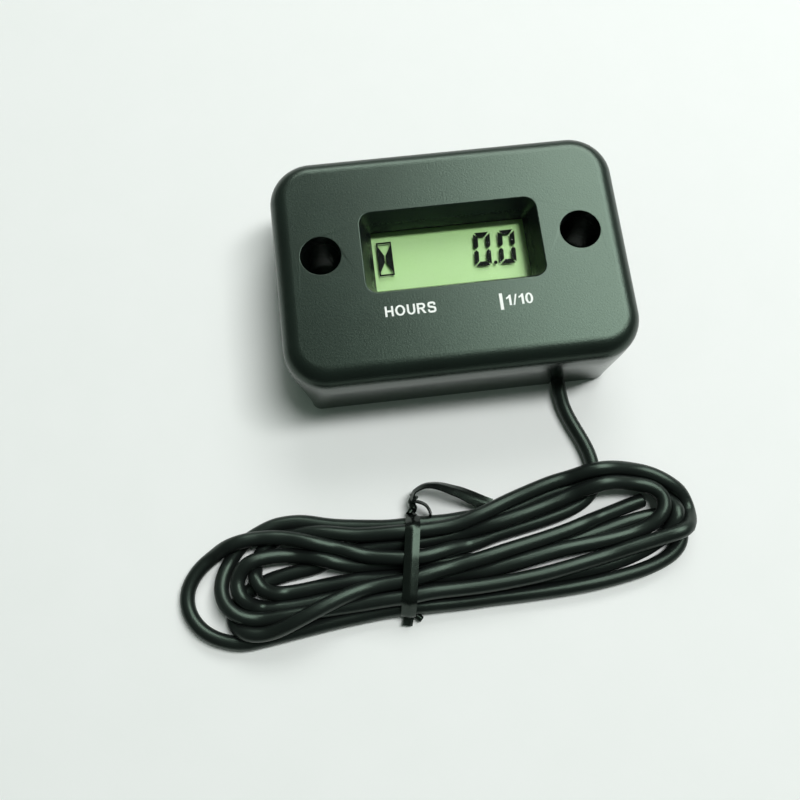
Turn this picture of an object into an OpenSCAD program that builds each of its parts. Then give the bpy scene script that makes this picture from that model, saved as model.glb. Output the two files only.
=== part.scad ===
// Panel hour meter: a small potted case with a reflective LCD, and a pick-up lead tied in a hank.
// The origin is the centre of the case's rear edge, +Z comes out of the display face,
// +X runs along the long side to the display's right and +Y to the display's top.

/* [Case] */
// Width of the case at its rim
case_w = 57; // [57:0.5:64]
// Depth of the case at its rim
case_d = 39; // [39:0.5:46]
// Height of the case, from rear edge to display face
case_h = 18; // [18:0.5:24]
// Plan radius of the rim's corners
rim_corner_r = 7; // [5:0.5:8]
// Radius of the rounded edge round the display face
rim_edge_r = 2.5; // [1:0.1:3.5]
// Height of the upright rim, from the face down to the shoulder
rim_h = 8; // [6:0.5:10]
// Height of the sloped shoulder between rim and base
shoulder_h = 4; // [2:0.5:6]
// Step in from the rim to the base at the short ends
base_inset_x = 3; // [1:0.1:3]
// Step in from the rim to the base at the long sides
base_inset_y = 1.1; // [0.6:0.1:1.6]
// Plan radius of the base's corners
base_corner_r = 2.5; // [2:0.1:4]
// Thickness of the base's walls
wall_t = 1.8; // [1.4:0.1:2]
// Thickness of the display face
face_t = 2; // [1.6:0.1:2.6]

/* [Screw wells] */
// Distance between the two mounting holes
hole_spacing = 42; // [42:0.5:43]
// Height of the hole row above the case's centre line
hole_row_y = 1.9; // [-1:0.1:3]
// Diameter of the well that takes the screw head
well_d = 6.5; // [5.6:0.1:6.6]
// Thickness of the well's floor under the screw head
well_floor_t = 4; // [2:0.5:8]
// Diameter of the hole for the mounting screw
screw_hole_d = 3.6; // [3:0.1:4.2]
// Wall of the boss round a well
boss_wall = 1.4; // [1:0.1:1.5]

/* [Window] */
// Width of the window opening at the face
window_w = 29.2; // [27:0.2:30]
// Height of the window opening at the face
window_h = 14; // [12:0.2:15]
// Place of the window's centre above the case's centre line
window_y = 1.6; // [0:0.1:2]
// Corner radius of the window opening
window_corner_r = 2; // [1.8:0.1:3]
// Depth of the window recess
recess_depth = 3.8; // [3:0.1:4.5]
// How far the recess walls slope in from face to foot
recess_slope = 1.75; // [0.5:0.05:1.75]
// Wall of the frame round the recess, behind the face
frame_wall = 1.2; // [1:0.1:1.4]

/* [Display] */
// Thickness of the clear window lens
lens_t = 0.6; // [0.4:0.1:1]
// Overlap of the lens behind the recess frame, above and below
lens_lap = 1.8; // [1.2:0.1:2]
// Thickness of the adhesive tape under the lens
tape_t = 0.15; // [0.1:0.05:0.3]
// Width of the display glass
glass_w = 29.2; // [28:0.2:29.2]
// Height of the front glass, with its contact ledges
front_glass_h = 18; // [17:0.2:18]
// Height of the rear glass
rear_glass_h = 13.6; // [12.8:0.2:13.8]
// Thickness of each display glass
glass_t = 0.55; // [0.4:0.05:0.7]
// Thickness of the polariser film
polariser_t = 0.15; // [0.1:0.05:0.25]
// Thickness of the rear polariser with its reflector
reflector_t = 0.25; // [0.15:0.05:0.4]
// Gap between the two glasses, drawn wide enough to hold the figures
cell_gap = 0.1; // [0.05:0.05:0.2]
// Width of the seal between the glasses
seal_w = 1; // [0.6:0.1:1.2]
// Margin of the polariser inside the rear glass
film_margin = 0.4; // [0.2:0.1:1]

/* [Figures] */
// Width of a figure
figure_w = 2.8; // [2:0.1:3.2]
// Height of a figure
figure_h = 6; // [4:0.1:7]
// Width of a segment
segment_w = 0.75; // [0.5:0.05:0.9]
// Gap between segments
segment_gap = 0.25; // [0.15:0.05:0.3]
// Sideways lean of a figure for each millimetre of height
figure_lean = 0.07; // [0:0.01:0.15]
// Distance from one figure to the next
figure_pitch = 4.15; // [3.8:0.05:4.4]
// Left foot of the first figure, right of the window's centre
figure_x = 4.1; // [2:0.1:4.4]
// Foot of the figures, below the window's centre
figure_drop = 2; // [1:0.1:3]
// Diameter of the decimal point
point_d = 0.6; // [0.4:0.05:0.8]
// Width of the hourglass sign
sign_w = 2.5; // [2:0.1:3]
// Left edge of the hourglass sign, left of the window's centre
sign_x = 11.8; // [9:0.1:12]
// Line width of the hourglass sign
sign_line = 0.25; // [0.2:0.05:0.4]
// Width of the hourglass's waist
sign_waist_w = 0.25; // [0.1:0.05:0.5]
// Height of the hourglass's waist
sign_waist_h = 1.2; // [0.4:0.1:2]

/* [Electronics] */
// Thickness of a contact strip
strip_w = 1.8; // [1.2:0.1:2]
// Wall of the display holder
holder_wall = 1.2; // [0.8:0.1:1.2]
// Width of the holder's ledges under the ends of the glass
holder_ledge = 0.8; // [0.5:0.1:0.8]
// Thickness of the circuit board
board_t = 1; // [0.8:0.1:1.2]
// Diameter of the posts that carry the board
post_d = 4.4; // [4:0.1:4.8]
// Step in from the base's inner end wall to a post's centre
post_inset_x = 3.2; // [2.8:0.1:3.6]
// Step in from the base's inner side wall to a post's centre
post_inset_y = 3.8; // [3.4:0.1:4]
// Shank diameter of the board screws
board_screw_d = 1.9; // [1.4:0.1:2.2]
// Shank length of the board screws below the head
board_screw_l = 5; // [3:0.5:6]
// Head diameter of the board screws
board_screw_head_d = 3.6; // [3:0.1:4]
// Head height of the board screws
board_screw_head_h = 1.3; // [0.8:0.1:1.6]
// Diameter of the coin cell
cell_d = 20; // [12:0.5:20]
// Thickness of the coin cell
cell_t = 3.2; // [2:0.1:3.2]
// Place of the coin cell's centre along the case
cell_x = -2; // [-3:0.5:1]
// Thickness of the cell's welded tabs
tab_t = 0.25; // [0.15:0.05:0.3]
// Width of the cell's welded tabs
tab_w = 4; // [3:0.5:5]
// Diameter of the resin blob over the controller
blob_d = 9; // [6:0.5:10]
// Height of the resin blob
blob_h = 1.3; // [0.8:0.1:1.8]
// Diameter of the watch crystal's can
crystal_d = 2; // [1.5:0.1:2]
// Length of the watch crystal's can
crystal_l = 6; // [4:0.5:6]

/* [Lead and potting] */
// Diameter of the lead
lead_d = 2.4; // [2:0.1:2.4]
// Diameter of the lead's conductor
conductor_d = 0.8; // [0.5:0.1:1]
// Place along the case where the lead leaves
lead_x = 17; // [17:0.5:17.5]
// Height of the lead's centre in the notch
lead_z = 1.65; // [1.6:0.05:1.7]
// Length of the lead inside the case
lead_in = 7.5; // [6:0.5:9]
// Thickness of the resin behind the works
potting_t = 3; // [2.8:0.1:3.4]
// Depth of the resin's rear face inside the rear edge
potting_recess = 0.3; // [0.1:0.05:0.35]
// Overall length of the tied hank
hank_l = 86; // [80:1:90]
// Overall width of the tied hank
hank_w = 19.6; // [18:0.1:19.6]
// Height of the hank as it lies
hank_h = 6.6; // [5:0.2:8]
// Width of the hank where the tie draws it in
waist_w = 15.1; // [14:0.1:16]
// Height of the hank where the tie draws it in
waist_h = 4.1; // [3.6:0.1:4.6]
// Width of the twist tie
tie_w = 2.4; // [2:0.1:3]
// Thickness of the twist tie
tie_t = 0.5; // [0.3:0.1:0.8]
// Place of the twist tie along the hank, from the hank's middle
tie_x = -5.4; // [-12:0.2:12]

/* [Fits] */
// Clearance round pieces that drop into a pocket
drop_fit = 0.2; // [0.1:0.05:0.25]
// Clearance between the board's edge and the case
board_fit = 0.3; // [0.2:0.05:0.4]
// Clearance round the board screws
screw_fit = 0.05; // [0.03:0.01:0.1]
// Clearance of the lead in its notch
notch_fit = 0.1; // [0.05:0.05:0.2]
// Clearance between the twist tie and the hank
tie_fit = 0.2; // [0.1:0.05:0.3]

/* [Hidden] */
$fn = 64;
eps = 0.01;

// Outline of the base and of the cavity inside it
base_w = case_w - 2 * base_inset_x;
base_d = case_d - 2 * base_inset_y;
cavity_w = base_w - 2 * wall_t;
cavity_d = base_d - 2 * wall_t;
cavity_corner_r = base_corner_r - wall_t / 2;
cavity_top = case_h - face_t;
rim_z = case_h - rim_h;
shoulder_z = rim_z - shoulder_h;
boss_d = well_d + 2 * boss_wall;

// Heights of the display's layers, from the recess foot downwards
recess_z = case_h - recess_depth;
tape_z = recess_z - tape_t;
lens_z = tape_z - lens_t;
polariser_z = lens_z - polariser_t;
front_glass_z = polariser_z - glass_t;
segment_z = front_glass_z - cell_gap;
rear_glass_z = segment_z - glass_t;
reflector_z = rear_glass_z - reflector_t;

// Foot of the recess, and the lens that covers it
foot_w = window_w - 2 * recess_slope;
foot_h = window_h - 2 * recess_slope;
foot_corner_r = window_corner_r - recess_slope;
lens_w = glass_w;
lens_h = foot_h + 2 * lens_lap;
lens_corner_r = 1;
ledge_h = (front_glass_h - rear_glass_h) / 2;
holder_w = glass_w + 2 * drop_fit + 2 * holder_wall;
holder_d = front_glass_h + 2 * drop_fit + 2 * holder_wall;
holder_top = front_glass_z + glass_t / 2;

// Resin, cell and board, from the rear edge upwards, with the contact strips up to the glass
potting_top = potting_recess + potting_t;
cell_bottom = potting_top + tab_t;
cell_top = cell_bottom + cell_t;
board_rear = cell_top + tab_t;
board_front = board_rear + board_t;
strip_h = front_glass_z - board_front;
post_spacing_x = cavity_w - 2 * post_inset_x;
post_spacing_y = cavity_d - 2 * post_inset_y;
board_w = cavity_w - 2 * board_fit;
board_d = cavity_d - 2 * board_fit;
board_corner_r = 0.8;
board_notch_d = boss_d + 2 * board_fit;
strip_l = glass_w - 2 * seal_w;
cell_rim_w = 1.2;
cell_cap_d = cell_d - 2 * cell_rim_w;
cell_cap_h = 0.5;
cell_y = window_y;
lead_end_y = -base_d / 2 + lead_in;
conductor_out = 1.5;
conductor_y = lead_end_y + conductor_out;
solder_d = 2.6;
solder_tip_wall = 0.2;
solder_h = 1.1;

// Parts on the board's front, as places from the window's centre, the chip rows by the glass's end
chip_size = [2, 1.25, 0.6];
chip_rows = 2;
chip_columns = 3;
chip_pitch = [3.2, 2.4];
chip_row_l = (chip_columns - 1) * chip_pitch[0] + chip_size[0];
chip_place = [strip_l / 2 - drop_fit - chip_row_l, 2];
blob_place = [-4, 0];
crystal_place = [3, -3.5];
crystal_lead_d = 0.35;
crystal_lead_l = 1.2;

// Hank and the stretch of lead between case and hank, as they lie
hank_place = [-6.6, -45.6];
hank_turn = 2.8;
tie_y = -0.8;
tie_lean = -12.3;
tie_z = 0.1;
waist_z = tie_z + tie_t + tie_fit;
waist_r = 1.8;
tie_twist_d = 2;
tie_twist_l = 4;
lead_sides = 8;
lead_route = [
    [17, -18.4, 1.65], [17, -20.5, 1.65], [17.3, -23, 1.3], [18.4, -26, 1.2],
    [19.8, -29, 1.2], [20.9, -32, 1.2], [21.4, -34, 1.2]
];

// General shapes

// Flat outline with round corners
module rounded_outline(w, d, r) {
    square([w - 2 * r, d], center = true);
    square([w, d - 2 * r], center = true);
    at_corners(w - 2 * r, d - 2 * r) circle(r);
}

module rounded_plate(w, d, r, h) {
    linear_extrude(h) rounded_outline(w, d, r);
}

// Copies a shape to the four corners of a rectangle
module at_corners(w, d) {
    for (x = [-1, 1], y = [-1, 1]) {
        translate([x * w / 2, y * d / 2]) children();
    }
}

// Half section of a block whose upper edge is rounded
module rounded_edge_section(reach, h, edge_r) {
    square([reach, h - edge_r]);
    square([reach - edge_r, h]);
    translate([reach - edge_r, h - edge_r]) intersection() {
        circle(edge_r);
        square(edge_r);
    }
}

// Both halves of a section, drawn along a straight side
module along_side(length, turn) {
    rotate([90, 0, turn]) linear_extrude(length, center = true) {
        children();
        mirror([1, 0]) children();
    }
}

// Block with round plan corners and a rounded upper edge
module rounded_edge_block(w, d, h, corner_r, edge_r) {
    at_corners(w - 2 * corner_r, d - 2 * corner_r) {
        rotate_extrude() rounded_edge_section(corner_r, h, edge_r);
    }
    along_side(d - 2 * corner_r, 0) rounded_edge_section(w / 2, h, edge_r);
    along_side(w - 2 * corner_r, 90) rounded_edge_section(d / 2, h, edge_r);
}

// Pocket whose walls slope in evenly from a rounded mouth to a rounded foot
module sloped_pocket(w, d, corner_r, depth, slope) {
    translate([0, 0, -depth]) {
        at_corners(w - 2 * corner_r, d - 2 * corner_r) {
            cylinder(h = depth, r1 = corner_r - slope, r2 = corner_r);
        }
        along_side(d - 2 * corner_r, 0) sloped_section(w / 2, depth, slope);
        along_side(w - 2 * corner_r, 90) sloped_section(d / 2, depth, slope);
    }
}

module sloped_section(reach, depth, slope) {
    polygon([[0, 0], [reach - slope, 0], [reach, depth], [0, depth]]);
}

// Frame with a rectangular opening
module frame(w, d, r, opening_w, opening_d, opening_r, h) {
    linear_extrude(h) difference() {
        rounded_outline(w, d, r);
        rounded_outline(opening_w, opening_d, opening_r);
    }
}

module at_wells() {
    for (side = [-1, 1]) {
        translate([side * hole_spacing / 2, hole_row_y]) children();
    }
}

module at_window(z) {
    translate([0, window_y, z]) children();
}

// Case

// Moulded body: rim with a rounded edge, sloped shoulder and narrower base
module case_outside() {
    translate([0, 0, rim_z]) {
        rounded_edge_block(case_w, case_d, rim_h, rim_corner_r, rim_edge_r);
    }
    hull() {
        translate([0, 0, rim_z - eps]) rounded_plate(case_w, case_d, rim_corner_r, eps);
        translate([0, 0, shoulder_z]) rounded_plate(base_w, base_d, base_corner_r, eps);
    }
    rounded_plate(base_w, base_d, base_corner_r, shoulder_z);
}

// Hollow for the works, open at the rear, with bosses, posts and window frame left standing
module case_hollow() {
    difference() {
        translate([0, 0, -eps]) {
            rounded_plate(cavity_w, cavity_d, cavity_corner_r, cavity_top + eps);
        }
        at_wells() translate([0, 0, -2 * eps]) cylinder(h = case_h, d = boss_d);
        translate([0, 0, board_front]) {
            at_corners(post_spacing_x, post_spacing_y) cylinder(h = case_h, d = post_d);
        }
        at_window(recess_z) {
            rounded_plate(
                window_w + 2 * frame_wall, window_h + 2 * frame_wall,
                window_corner_r, recess_depth
            );
        }
    }
}

// Slot in the lower wall, open to the rear, where the lead leaves
module lead_notch() {
    notch_d = lead_d + 2 * notch_fit;
    translate([lead_x, -cavity_d / 2 + eps, 0]) rotate([90, 0, 0]) {
        linear_extrude(2 * wall_t) {
            translate([0, lead_z]) circle(d = notch_d);
            translate([-notch_d / 2, -eps]) square([notch_d, lead_z + eps]);
        }
    }
}

module front_case() {
    color("#2c3231") difference() {
        case_outside();
        case_hollow();
        at_wells() {
            translate([0, 0, well_floor_t]) cylinder(h = case_h, d = well_d);
            translate([0, 0, -eps]) cylinder(h = case_h, d = screw_hole_d);
        }
        at_window(case_h) {
            sloped_pocket(window_w, window_h, window_corner_r, recess_depth, recess_slope);
        }
        translate([0, 0, board_front - eps]) at_corners(post_spacing_x, post_spacing_y) {
            cylinder(h = board_screw_l, d = board_screw_d + 2 * screw_fit);
        }
        lead_notch();
    }
}

// Display

module window_lens() {
    color("#dfe8e6", 0.3) at_window(lens_z) rounded_plate(lens_w, lens_h, lens_corner_r, lens_t);
}

module lens_tape() {
    color("#1c1c1c") at_window(tape_z) {
        frame(
            lens_w, lens_h, lens_corner_r,
            foot_w + 2 * drop_fit, foot_h + 2 * drop_fit, foot_corner_r + drop_fit, tape_t
        );
    }
}

module glass_plate(h, t) {
    linear_extrude(t) square([glass_w, h], center = true);
}

module lcd_front_polariser() {
    color("#9aa884", 0.4) at_window(polariser_z) linear_extrude(polariser_t) {
        square([glass_w - 2 * film_margin, rear_glass_h - 2 * film_margin], center = true);
    }
}

module lcd_front_glass() {
    color("#cfe0d8", 0.3) at_window(front_glass_z) glass_plate(front_glass_h, glass_t);
}

module lcd_seal() {
    color("#c9c4a8") at_window(segment_z) linear_extrude(cell_gap) difference() {
        square([glass_w, rear_glass_h], center = true);
        square([glass_w - 2 * seal_w, rear_glass_h - 2 * seal_w], center = true);
    }
}

// One segment of a leaning figure
module segment(points) {
    polygon([for (p = points) [p[0] + figure_lean * p[1], p[1]]]);
}

// Figure 0 as seven-segment displays draw it: mitred at the corners, pointed at half height
module figure_zero() {
    w = figure_w;
    s = segment_w;
    g = segment_gap;
    tip = (figure_h - g) / 2;
    for (half = [[0, 1], [figure_h, -1]]) {
        foot = half[0];
        up = half[1];
        segment([
            [g, foot], [w - g, foot],
            [w - s - g / 2, foot + up * s], [s + g / 2, foot + up * s]
        ]);
        for (side = [[0, s], [w, w - s]]) segment([
            [side[0], foot + up * g],
            [side[0], foot + up * (tip - s / 2)],
            [(side[0] + side[1]) / 2, foot + up * tip],
            [side[1], foot + up * (tip - s / 2)],
            [side[1], foot + up * (s + g / 2)]
        ]);
    }
}

// Boxed hourglass: a frame with a dark waisted wedge from each side
module hourglass_sign() {
    waist_x = (sign_w - sign_waist_w) / 2;
    waist_y = (figure_h - sign_waist_h) / 2;
    difference() {
        square([sign_w, figure_h]);
        translate([sign_line, sign_line]) square([sign_w - 2 * sign_line, figure_h - 2 * sign_line]);
    }
    for (side = [0, 1]) translate([side * sign_w, 0]) mirror([side, 0]) polygon([
        [0, sign_line], [waist_x, waist_y], [waist_x, figure_h - waist_y], [0, figure_h - sign_line]
    ]);
}

module lcd_segments() {
    color("#1b2420") at_window(segment_z) linear_extrude(cell_gap) translate([0, -figure_drop]) {
        translate([-sign_x, 0]) hourglass_sign();
        for (i = [0, 1]) translate([figure_x + i * figure_pitch, 0]) figure_zero();
        translate([figure_x + (figure_w + figure_pitch) / 2, segment_w / 2]) circle(d = point_d);
    }
}

module lcd_rear_glass() {
    color("#cfe0d8", 0.3) at_window(rear_glass_z) glass_plate(rear_glass_h, glass_t);
}

module lcd_reflector() {
    color("#b5dd96") at_window(reflector_z) linear_extrude(reflector_t) {
        square([glass_w - 2 * film_margin, rear_glass_h - 2 * film_margin], center = true);
    }
}

// Frame round the glass, with a ledge under each end and room left for the well bosses
module lcd_holder() {
    pocket_w = glass_w + 2 * drop_fit;
    pocket_d = front_glass_h + 2 * drop_fit;
    ledge_w = holder_ledge + drop_fit;
    color("#e6e6e0") difference() {
        at_window(board_front) {
            frame(
                holder_w, holder_d, holder_wall,
                pocket_w, pocket_d, drop_fit, holder_top - board_front
            );
            for (side = [-1, 1]) translate([side * (pocket_w - ledge_w) / 2, 0, 0]) {
                linear_extrude(reflector_z - board_front) {
                    square([ledge_w, pocket_d], center = true);
                }
            }
        }
        at_wells() cylinder(h = case_h, d = boss_d + 2 * drop_fit);
    }
}

module contact_strips() {
    strip_y = (rear_glass_h + ledge_h) / 2;
    color("#d8b6bd") at_window(board_front) for (side = [-1, 1]) {
        translate([-strip_l / 2, side * strip_y - strip_w / 2, 0]) cube([strip_l, strip_w, strip_h]);
    }
}

// Electronics

module circuit_board() {
    color("#2f6b3a") translate([0, 0, board_rear]) linear_extrude(board_t) difference() {
        rounded_outline(board_w, board_d, board_corner_r);
        at_wells() circle(d = board_notch_d);
        at_corners(post_spacing_x, post_spacing_y) circle(d = board_screw_d + 2 * screw_fit);
    }
}

// Low dome of resin: a slice of a sphere
module controller_blob() {
    dome_r = (pow(blob_d / 2, 2) + pow(blob_h, 2)) / (2 * blob_h);
    color("#171717") at_window(board_front) translate(blob_place) rotate_extrude() intersection() {
        translate([0, blob_h - dome_r]) circle(dome_r);
        square([blob_d, blob_h]);
    }
}

// Watch crystal lying on the board, its two wires bent down to it
module crystal_can() {
    wire_x = crystal_l + crystal_lead_l;
    color("#c9ccd0") at_window(board_front + crystal_d / 2) translate(crystal_place) {
        rotate([0, 90, 0]) cylinder(h = crystal_l, d = crystal_d);
        for (side = [-1, 1]) translate([0, side * crystal_d / 4, 0]) {
            translate([crystal_l, 0, 0]) rotate([0, 90, 0]) {
                cylinder(h = crystal_lead_l, d = crystal_lead_d);
            }
            translate([wire_x, 0, 0]) sphere(d = crystal_lead_d);
            translate([wire_x, 0, -crystal_d / 2]) cylinder(h = crystal_d / 2, d = crystal_lead_d);
        }
    }
}

module chip_parts() {
    color("#5a4632") at_window(board_front) translate(chip_place) {
        for (column = [0:chip_columns - 1], row = [0:chip_rows - 1]) {
            translate([column * chip_pitch[0], row * chip_pitch[1], 0]) cube(chip_size);
        }
    }
}

module board_screws() {
    color("#b9bcc0") at_corners(post_spacing_x, post_spacing_y) {
        translate([0, 0, board_rear - board_screw_head_h]) {
            cylinder(h = board_screw_head_h, d = board_screw_head_d);
        }
        translate([0, 0, board_rear - eps]) cylinder(h = board_screw_l, d = board_screw_d);
    }
}

// Coin cell, its smaller cap towards the board
module coin_cell() {
    color("#c3c6c8") translate([cell_x, cell_y, cell_bottom]) {
        cylinder(h = cell_t - cell_cap_h, d = cell_d);
        cylinder(h = cell_t, d = cell_cap_d);
    }
}

module cell_tab_negative() {
    tab_l = cell_d / 2 + tab_w;
    color("#d6d8da") translate([cell_x - tab_l, cell_y - tab_w / 2, cell_top]) {
        cube([tab_l, tab_w, tab_t]);
    }
}

// Strip across the can, bent up past its side to the board
module cell_tab_positive() {
    reach = cell_d / 2 + drop_fit;
    color("#d6d8da") translate([cell_x, cell_y - tab_w / 2, cell_bottom - tab_t]) {
        cube([reach + tab_t, tab_w, tab_t]);
        translate([reach, 0, 0]) cube([tab_t, tab_w, board_rear - cell_bottom + tab_t]);
    }
}

// Lead inside the case, and the resin round it

// A round bar along the lead's axis, from the outside of the wall inwards
module along_lead(d, length) {
    translate([lead_x, -base_d / 2, lead_z]) rotate([-90, 0, 0]) cylinder(h = length, d = d);
}

module lead_sleeve() {
    color("#1d1f1f") difference() {
        along_lead(lead_d, lead_in);
        translate([0, -eps, 0]) along_lead(conductor_d, lead_in + 2 * eps);
    }
}

// Copper core, bent up to the board where the sleeve ends
module lead_conductor() {
    color("#b87333") {
        along_lead(conductor_d, lead_in + conductor_out);
        translate([lead_x, conductor_y, lead_z]) {
            sphere(d = conductor_d);
            cylinder(h = board_rear - lead_z, d = conductor_d);
        }
    }
}

module solder_joint() {
    color("#cfd2d4") translate([lead_x, conductor_y, board_rear - solder_h]) difference() {
        cylinder(h = solder_h, d1 = conductor_d + 2 * solder_tip_wall, d2 = solder_d);
        translate([0, 0, -eps]) cylinder(h = solder_h + 2 * eps, d = conductor_d);
    }
}

module potting() {
    color("#202322") difference() {
        translate([0, 0, potting_recess]) {
            rounded_plate(cavity_w, cavity_d, cavity_corner_r, potting_top - potting_recess);
        }
        at_wells() cylinder(h = case_h, d = boss_d);
        along_lead(lead_d, lead_in);
        along_lead(conductor_d, lead_in + conductor_out);
        translate([lead_x, conductor_y, lead_z]) {
            sphere(d = conductor_d);
            cylinder(h = case_h, d = conductor_d);
        }
    }
}

// Lead outside the case

function unit(v) = v / norm(v);
function heading(route, i) = unit(route[min(i + 1, len(route) - 1)] - route[max(i - 1, 0)]);
function ring(p, along, d, sides) =
    let (across = unit(cross(along, [0, 0, 1])), up = cross(across, along))
    [for (k = [0:sides - 1]) p + d / 2 * (cos(360 * k / sides) * across + sin(360 * k / sides) * up)];

// Round cord along a route of points, as one closed surface
module cord(route, d, sides) {
    rings = len(route);
    points = [for (i = [0:rings - 1]) each ring(route[i], heading(route, i), d, sides)];
    walls = [
        for (i = [0:rings - 2], k = [0:sides - 1])
            let (a = i * sides + k, b = i * sides + (k + 1) % sides)
            each [[a, b, b + sides], [a, b + sides, a + sides]]
    ];
    first_cap = [for (k = [0:sides - 1]) sides - 1 - k];
    last_cap = [for (k = [0:sides - 1]) (rings - 1) * sides + k];
    polyhedron(points, concat([first_cap], walls, [last_cap]));
}

module lead() {
    color("#1d1f1f") cord(lead_route, lead_d, lead_sides);
}

module at_hank() {
    translate(hank_place) rotate(hank_turn) children();
}

// Place and lean of the tie on the hank
module at_tie() {
    translate([tie_x, tie_y, 0]) rotate(tie_lean) children();
}

// Block w wide with the oval section of the tied waist, larger all round by grow
module waist_block(w, grow) {
    translate([-w / 2, 0, waist_z + waist_h / 2]) rotate([90, 0, 90]) linear_extrude(w) {
        rounded_outline(waist_w + 2 * grow, waist_h + 2 * grow, waist_r + grow);
    }
}

// Outer form of the wound lead, drawn in to an oval waist where it is tied
module lead_hank() {
    channel_w = tie_w + 2 * tie_fit;
    color("#1d1f1f") at_hank() difference() {
        rounded_plate(hank_l, hank_w, hank_w / 2 - eps, hank_h);
        at_tie() difference() {
            translate([-channel_w / 2, -hank_w, -hank_h / 2]) {
                cube([channel_w, 2 * hank_w, 2 * hank_h]);
            }
            waist_block(2 * channel_w, 0);
        }
    }
}

// Flat tie round the waist, its ends twisted together on the side towards the case
module twist_tie() {
    color("#151616") at_hank() at_tie() {
        difference() {
            waist_block(tie_w, tie_fit + tie_t);
            waist_block(2 * tie_w, tie_fit);
        }
        translate([0, waist_w / 2 + tie_fit + tie_t / 2, waist_z + waist_h / 2]) rotate([-90, 0, 0]) {
            cylinder(h = tie_twist_l, d = tie_twist_d);
        }
    }
}

front_case();
window_lens();
lens_tape();
lcd_front_polariser();
lcd_front_glass();
lcd_seal();
lcd_segments();
lcd_rear_glass();
lcd_reflector();
lcd_holder();
contact_strips();
circuit_board();
controller_blob();
crystal_can();
chip_parts();
board_screws();
coin_cell();
cell_tab_negative();
cell_tab_positive();
lead_sleeve();
lead_conductor();
solder_joint();
potting();
lead();
lead_hank();
twist_tie();
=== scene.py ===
"""Small potted hour meter with its thin pick-up lead wound and tied, lying on a pale table."""
import math

import bmesh
import bpy
import numpy as np
from mathutils import Matrix, Vector
from mathutils.geometry import tessellate_polygon


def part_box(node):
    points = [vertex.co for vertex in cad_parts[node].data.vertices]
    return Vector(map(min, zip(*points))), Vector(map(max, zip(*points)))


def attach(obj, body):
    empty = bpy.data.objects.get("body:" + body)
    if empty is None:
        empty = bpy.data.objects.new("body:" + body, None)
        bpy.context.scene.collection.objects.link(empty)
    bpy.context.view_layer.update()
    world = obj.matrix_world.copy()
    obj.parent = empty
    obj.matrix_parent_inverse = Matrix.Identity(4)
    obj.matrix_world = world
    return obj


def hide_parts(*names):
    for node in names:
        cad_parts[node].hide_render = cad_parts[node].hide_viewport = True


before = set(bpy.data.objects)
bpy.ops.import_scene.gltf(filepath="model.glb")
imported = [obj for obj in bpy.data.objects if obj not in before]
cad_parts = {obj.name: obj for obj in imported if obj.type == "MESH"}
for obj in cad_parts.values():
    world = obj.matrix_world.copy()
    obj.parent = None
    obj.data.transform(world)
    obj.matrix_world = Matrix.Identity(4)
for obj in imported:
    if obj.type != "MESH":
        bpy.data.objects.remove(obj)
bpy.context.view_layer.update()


# Front case. One black ABS moulding: a rounded rim over a narrower base, a sloped window recess and two screw
# wells. The rear is open, so that the works go in from behind, and a notch in the lower wall lets the lead out.

MM = 0.001
case_low, case_high = (Vector(corner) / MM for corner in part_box("front_case"))
case_w, case_d, case_h = case_high - case_low
rim_corner_r, rim_edge_r, rim_z, shoulder_z = 7, 3, 12.5, 2.4
base_w, base_d, base_corner_r = case_w - 6, case_d - 2.2, 1.6
foot_edge_r = 0.35
wall_t, face_t = 1.8, 2
cavity_w, cavity_d, cavity_corner_r = base_w - 2 * wall_t, base_d - 2 * wall_t, 1.6
well_x, well_y, well_d, well_floor_z, well_edge_r = 21, 1.9, 6.5, 4, 0.12
screw_hole_d, boss_d = 3.6, 9.3
window_x, window_y, window_w, window_h, window_corner_r = 0.1, 1.6, 28.9, 14, 2
recess_depth, recess_slope, window_edge_r, frame_wall = 3.8, 1.75, 0.25, 1.2
recess_z = case_h - recess_depth
foot_w, foot_h = window_w - 2 * recess_slope, window_h - 2 * recess_slope
foot_corner_r, below_foot = window_corner_r - recess_slope, 1
lead_x, lead_z, lead_d = 17, 1.65, 2.4
notch_d = lead_d + 0.2


def outline(w, d, r, z, x=0, y=0, steps=14):
    """Points of a rectangle with round corners, or of a circle, at one height, anticlockwise from above."""
    points = []
    for quarter, (side_x, side_y) in enumerate([(1, 1), (-1, 1), (-1, -1), (1, -1)]):
        for k in range(steps + 1):
            turn = math.pi / 2 * (quarter + k / steps)
            points.append(Vector((
                x + side_x * (w / 2 - r) + r * math.cos(turn),
                y + side_y * (d / 2 - r) + r * math.sin(turn), z)))
    return points


def circle(d, z, x, y):
    """A round outline, with no doubled points where its quarters meet."""
    return [Vector((x + d / 2 * math.cos(turn), y + d / 2 * math.sin(turn), z))
            for turn in (2 * math.pi * k / 64 for k in range(64))]


def rounded(corners, reach, steps=5):
    """The tuples of a profile, with each inner corner turned into a short curve."""
    corners = [np.array(corner, float) for corner in corners]
    line = [corners[0]]
    for before, corner, after in zip(corners, corners[1:], corners[2:]):
        start = corner + (before - corner) * min(0.5, reach / np.linalg.norm(before - corner))
        end = corner + (after - corner) * min(0.5, reach / np.linalg.norm(after - corner))
        for t in np.linspace(0, 1, steps):
            line.append((1 - t) ** 2 * start + 2 * t * (1 - t) * corner + t ** 2 * end)
    return line + [corners[-1]]


def loft(bm, rings, closed=True):
    """Skins a stack of rings of equal count and returns the rings' vertices."""
    rows = [[bm.verts.new(point) for point in ring] for ring in rings]
    for lower, upper in zip(rows, rows[1:]):
        for k in range(len(lower) if closed else len(lower) - 1):
            after = (k + 1) % len(lower)
            bm.faces.new((lower[k], lower[after], upper[after], upper[k]))
    return rows


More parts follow.
